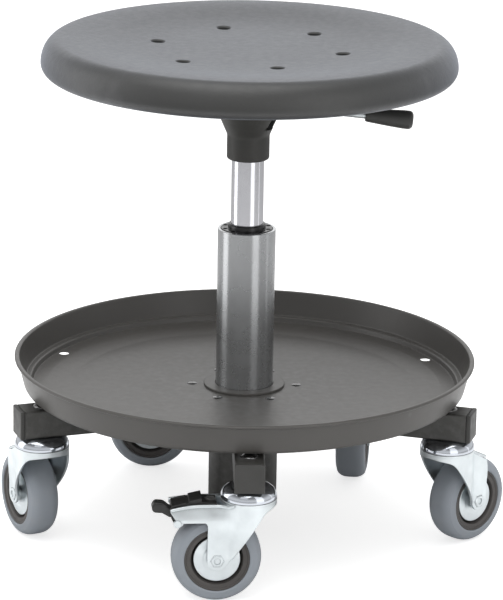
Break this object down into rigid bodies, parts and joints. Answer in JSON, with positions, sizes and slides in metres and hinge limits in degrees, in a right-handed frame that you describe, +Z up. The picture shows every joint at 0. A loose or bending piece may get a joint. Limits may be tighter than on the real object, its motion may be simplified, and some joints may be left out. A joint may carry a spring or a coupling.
{
  "type": "creeper seat",
  "caption": "Low workshop seat on casters: dished round seat on a gas spring with a lift lever, round tool tray and star base with a brake pedal.",
  "frame": {"origin": "the column's axis at floor level, under the wheels", "axes": "+Z up along the column, +X to the lift lever, -Y to the leg with the braked caster"},
  "size_m": [0.4387, 0.4087, 0.434],
  "materials": {
    "frame_black": "satin black powder coat",
    "tray_grey": "satin dark grey powder coat",
    "cap_plastic": "matt moulded cap",
    "black_plastic": "matt moulded plastic",
    "seat_skin": "fine-textured dark grey polyurethane skin",
    "column_steel": "satin plated steel tube",
    "chrome": "bright chrome",
    "zinc": "bright zinc plate",
    "steel": "plain turned steel",
    "tyre_grey": "smooth bluish grey elastomer",
    "core_plastic": "dark moulded wheel centre"
  },
  "bodies": {
    "base": {"hub_tube": "frame_black", "hub_flange": "frame_black", "leg_front": "frame_black", "leg_right": "frame_black", "leg_back_right": "frame_black", "leg_back_left": "frame_black", "leg_left": "frame_black", "leg_caps": "cap_plastic", "tray": "tray_grey", "tray_screws": "zinc", "column_collar": "tray_grey", "column_tube": "column_steel", "guide_bush": "black_plastic", "column_base": "steel", "caster_bolts": "zinc", "kingpins": "steel", "swivel_domes": "chrome", "swivel_races": "steel"},
    "spring_rod": {"piston_rod": "chrome", "rod_clip": "steel", "thrust_bearing": "steel"},
    "seat_top": {"gas_cylinder": "chrome", "cylinder_gland": "black_plastic", "seat_bracket": "frame_black", "seat_plate": "frame_black", "seat_screws": "zinc", "seat": "seat_skin", "lever_pin": "steel"},
    "lever": {"lever_arm": "zinc", "lever_grip": "black_plastic"},
    "release": {"release_pin": "steel"},
    "caster_front": {"fork_front": "zinc", "axle_front": "zinc", "brake_pin": "zinc"},
    "wheel_front": {"wheel_core_front": "core_plastic", "tyre_front": "tyre_grey", "wheel_discs_front": "zinc"},
    "caster_right": {"fork_right": "zinc", "axle_right": "zinc"},
    "wheel_right": {"wheel_core_right": "core_plastic", "tyre_right": "tyre_grey", "wheel_discs_right": "zinc"},
    "caster_back_right": {"fork_back_right": "zinc", "axle_back_right": "zinc"},
    "wheel_back_right": {"wheel_core_back_right": "core_plastic", "tyre_back_right": "tyre_grey", "wheel_discs_back_right": "zinc"},
    "caster_back_left": {"fork_back_left": "zinc", "axle_back_left": "zinc"},
    "wheel_back_left": {"wheel_core_back_left": "core_plastic", "tyre_back_left": "tyre_grey", "wheel_discs_back_left": "zinc"},
    "caster_left": {"fork_left": "zinc", "axle_left": "zinc"},
    "wheel_left": {"wheel_core_left": "core_plastic", "tyre_left": "tyre_grey", "wheel_discs_left": "zinc"},
    "brake": {"brake_pedal": "black_plastic"}
  },
  "joints": [
    {"name": "seat_swivel", "type": "hinge", "parent": "base", "child": "spring_rod", "pos_m": [0, 0, 0.028], "axis": [0, 0, 1], "continuous": true},
    {"name": "seat_lift", "type": "slide", "parent": "spring_rod", "child": "seat_top", "axis": [0, 0, 1], "range_m": [-0.0559, 0.07]},
    {"name": "lever_pull", "type": "hinge", "parent": "seat_top", "child": "lever", "pos_m": [0.014, 0, 0.37715], "axis": [0, -1, 0], "range_deg": [0, 8], "stiffness_Nm_per_rad": 1.2, "springref_deg": -6.88},
    {"name": "pin_press", "type": "slide", "parent": "seat_top", "child": "release", "axis": [0, 0, 1], "range_m": [-0.002, 0]},
    {"name": "caster_front_swivel", "type": "hinge", "parent": "base", "child": "caster_front", "pos_m": [0.00576, -0.18341, 0.085], "axis": [0, 0, 1], "continuous": true},
    {"name": "wheel_front_spin", "type": "hinge", "parent": "caster_front", "child": "wheel_front", "pos_m": [-0.02061, -0.18595, 0.0375], "axis": [-0.0958, 0.9954, 0], "continuous": true},
    {"name": "caster_right_swivel", "type": "hinge", "parent": "base", "child": "caster_right", "pos_m": [0.17621, -0.05119, 0.085], "axis": [0, 0, 1], "continuous": true},
    {"name": "wheel_right_spin", "type": "hinge", "parent": "caster_right", "child": "wheel_right", "pos_m": [0.19512, -0.03262, 0.0375], "axis": [0.7009, -0.7133, 0], "continuous": true},
    {"name": "caster_back_right_swivel", "type": "hinge", "parent": "base", "child": "caster_back_right", "pos_m": [0.10314, 0.15177, 0.085], "axis": [0, 0, 1], "continuous": true},
    {"name": "wheel_back_right_spin", "type": "hinge", "parent": "caster_back_right", "child": "wheel_back_right", "pos_m": [0.10037, 0.12541, 0.0375], "axis": [-0.9945, 0.1045, 0], "continuous": true},
    {"name": "caster_back_left_swivel", "type": "hinge", "parent": "base", "child": "caster_back_left", "pos_m": [-0.11247, 0.14499, 0.085], "axis": [0, 0, 1], "continuous": true},
    {"name": "wheel_back_left_spin", "type": "hinge", "parent": "caster_back_left", "child": "wheel_back_left", "pos_m": [-0.08597, 0.14499, 0.0375], "axis": [0, -1, 0], "continuous": true},
    {"name": "caster_left_swivel", "type": "hinge", "parent": "base", "child": "caster_left", "pos_m": [-0.17265, -0.06216, 0.085], "axis": [0, 0, 1], "continuous": true},
    {"name": "wheel_left_spin", "type": "hinge", "parent": "caster_left", "child": "wheel_left", "pos_m": [-0.18489, -0.03865, 0.0375], "axis": [0.887, 0.4617, 0], "continuous": true},
    {"name": "brake_press", "type": "hinge", "parent": "caster_front", "child": "brake", "pos_m": [-0.05396, -0.18916, 0.0714], "axis": [-0.0958, 0.9954, 0], "range_deg": [0, 7]}
  ],
  "couplings": [
    {"joint": "pin_press", "follows": "lever_pull", "m_per_rad": -0.014}
  ]
}
